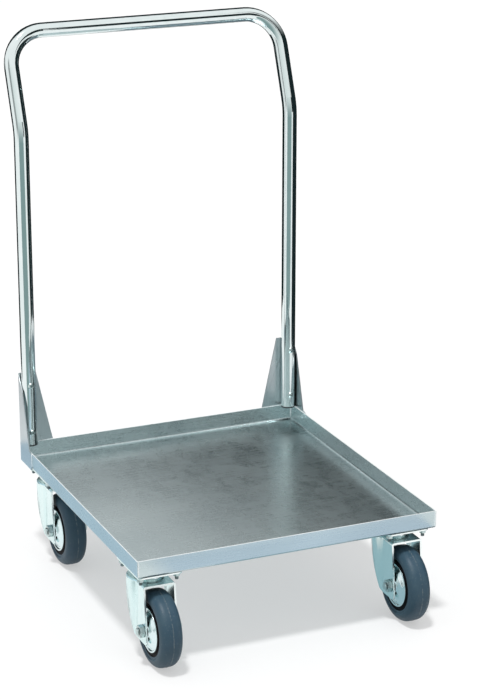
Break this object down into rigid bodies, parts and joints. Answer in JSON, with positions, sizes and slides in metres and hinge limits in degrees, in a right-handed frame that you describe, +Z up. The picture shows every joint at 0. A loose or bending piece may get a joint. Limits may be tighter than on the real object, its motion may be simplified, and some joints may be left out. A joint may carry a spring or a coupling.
{
  "type": "transport dolly",
  "caption": "Stainless tray dolly for crates and baskets: low folded tray on swivel casters with grey rubber tyres, pushed by a bent-tube handle bolted to corner brackets.",
  "frame": {"origin": "on the floor, under the middle of the dolly's outline", "axes": "+Z up, +X to the right along the front edge, +Y from the front edge towards the handle"},
  "size_m": [0.519, 0.6628, 0.91],
  "materials": {
    "tray_stainless": "brushed stainless sheet",
    "bracket_stainless": "satin stainless sheet with bright cut edges",
    "handle_stainless": "polished stainless tube",
    "plug_plastic": "moulded black plastic",
    "fastener_steel": "bright zinc-plated steel",
    "caster_zinc": "bright zinc-plated pressed steel",
    "pad_rubber": "moulded black rubber",
    "race_chrome": "bright turned steel",
    "wheel_zinc": "bright zinc-plated pressed steel",
    "tyre_base_black": "moulded black plastic",
    "tyre_grey": "moulded grey rubber",
    "bearing_plastic": "roller cage"
  },
  "bodies": {
    "root": {"base_tray": "tray_stainless", "handle_bracket_left": "bracket_stainless", "handle_bracket_right": "bracket_stainless", "handle_tube": "handle_stainless", "handle_end_plugs": "plug_plastic", "handle_bolts": "fastener_steel", "handle_nuts": "fastener_steel", "caster_studs": "fastener_steel", "caster_washers": "fastener_steel", "caster_nuts": "fastener_steel", "caster_pads": "pad_rubber", "front_left_caster_plate": "caster_zinc", "front_left_race_cup": "race_chrome", "front_left_king_pin": "fastener_steel", "front_right_caster_plate": "caster_zinc", "front_right_race_cup": "race_chrome", "front_right_king_pin": "fastener_steel", "rear_left_caster_plate": "caster_zinc", "rear_left_race_cup": "race_chrome", "rear_left_king_pin": "fastener_steel", "rear_right_caster_plate": "caster_zinc", "rear_right_race_cup": "race_chrome", "rear_right_king_pin": "fastener_steel"},
    "front_left_swivel": {"front_left_race_balls": "race_chrome", "front_left_fork": "caster_zinc", "front_left_axle_bolt": "fastener_steel", "front_left_axle_nut": "fastener_steel", "front_left_axle_sleeve": "fastener_steel"},
    "front_left_wheel": {"front_left_roller_bearing": "bearing_plastic", "front_left_wheel_rim": "wheel_zinc", "front_left_tyre_base": "tyre_base_black", "front_left_tyre": "tyre_grey"},
    "front_right_swivel": {"front_right_race_balls": "race_chrome", "front_right_fork": "caster_zinc", "front_right_axle_bolt": "fastener_steel", "front_right_axle_nut": "fastener_steel", "front_right_axle_sleeve": "fastener_steel"},
    "front_right_wheel": {"front_right_roller_bearing": "bearing_plastic", "front_right_wheel_rim": "wheel_zinc", "front_right_tyre_base": "tyre_base_black", "front_right_tyre": "tyre_grey"},
    "rear_left_swivel": {"rear_left_race_balls": "race_chrome", "rear_left_fork": "caster_zinc", "rear_left_axle_bolt": "fastener_steel", "rear_left_axle_nut": "fastener_steel", "rear_left_axle_sleeve": "fastener_steel"},
    "rear_left_wheel": {"rear_left_roller_bearing": "bearing_plastic", "rear_left_wheel_rim": "wheel_zinc", "rear_left_tyre_base": "tyre_base_black", "rear_left_tyre": "tyre_grey"},
    "rear_right_swivel": {"rear_right_race_balls": "race_chrome", "rear_right_fork": "caster_zinc", "rear_right_axle_bolt": "fastener_steel", "rear_right_axle_nut": "fastener_steel", "rear_right_axle_sleeve": "fastener_steel"},
    "rear_right_wheel": {"rear_right_roller_bearing": "bearing_plastic", "rear_right_wheel_rim": "wheel_zinc", "rear_right_tyre_base": "tyre_base_black", "rear_right_tyre": "tyre_grey"}
  },
  "joints": [
    {"name": "front_left_swivel_turn", "type": "hinge", "parent": "root", "child": "front_left_swivel", "pos_m": [-0.2145, -0.22887, 0.1525], "axis": [0, 0, 1], "continuous": true},
    {"name": "front_left_wheel_roll", "type": "hinge", "parent": "front_left_swivel", "child": "front_left_wheel", "pos_m": [-0.2145, -0.26887, 0.0625], "axis": [1, 0, 0], "continuous": true},
    {"name": "front_right_swivel_turn", "type": "hinge", "parent": "root", "child": "front_right_swivel", "pos_m": [0.2145, -0.22887, 0.1525], "axis": [0, 0, 1], "continuous": true},
    {"name": "front_right_wheel_roll", "type": "hinge", "parent": "front_right_swivel", "child": "front_right_wheel", "pos_m": [0.2145, -0.26887, 0.0625], "axis": [1, 0, 0], "continuous": true},
    {"name": "rear_left_swivel_turn", "type": "hinge", "parent": "root", "child": "rear_left_swivel", "pos_m": [-0.2145, 0.20613, 0.1525], "axis": [0, 0, 1], "continuous": true},
    {"name": "rear_left_wheel_roll", "type": "hinge", "parent": "rear_left_swivel", "child": "rear_left_wheel", "pos_m": [-0.2145, 0.16612, 0.0625], "axis": [1, 0, 0], "continuous": true},
    {"name": "rear_right_swivel_turn", "type": "hinge", "parent": "root", "child": "rear_right_swivel", "pos_m": [0.2145, 0.20613, 0.1525], "axis": [0, 0, 1], "continuous": true},
    {"name": "rear_right_wheel_roll", "type": "hinge", "parent": "rear_right_swivel", "child": "rear_right_wheel", "pos_m": [0.2145, 0.16612, 0.0625], "axis": [1, 0, 0], "continuous": true}
  ]
}
